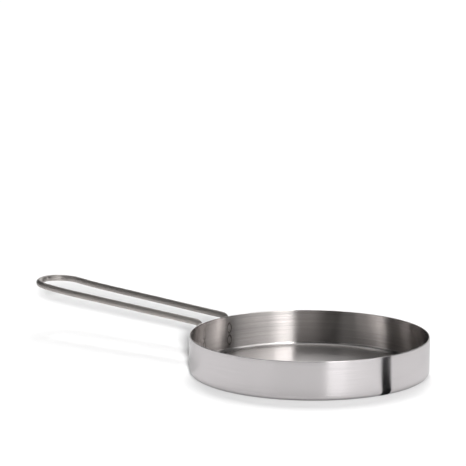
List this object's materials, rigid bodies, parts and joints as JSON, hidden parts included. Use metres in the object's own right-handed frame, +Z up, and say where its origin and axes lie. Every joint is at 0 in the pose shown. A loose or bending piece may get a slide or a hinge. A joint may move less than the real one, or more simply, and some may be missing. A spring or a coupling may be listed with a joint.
{
  "type": "omelette pan",
  "caption": "Shallow round straight-walled stainless steel pan with a long loop handle bent from one wire and welded to the outside of the wall.",
  "frame": {"origin": "centre of the flat base, on the surface that the pan stands on", "axes": "+Z up; -X from the pan's axis along the handle to its loop; Y across the pan, square to the handle"},
  "size_m": [0.4418, 0.22, 0.0521],
  "materials": {
    "pan_steel": "circular brushed satin",
    "wire_steel": "drawn wire, satin",
    "weld_steel": "heat tinted weld metal"
  },
  "bodies": {
    "root": {"pan_body": "pan_steel", "wire_handle": "wire_steel", "weld_left_1": "weld_steel", "weld_left_2": "weld_steel", "weld_right_1": "weld_steel", "weld_right_2": "weld_steel"}
  },
  "joints": []
}
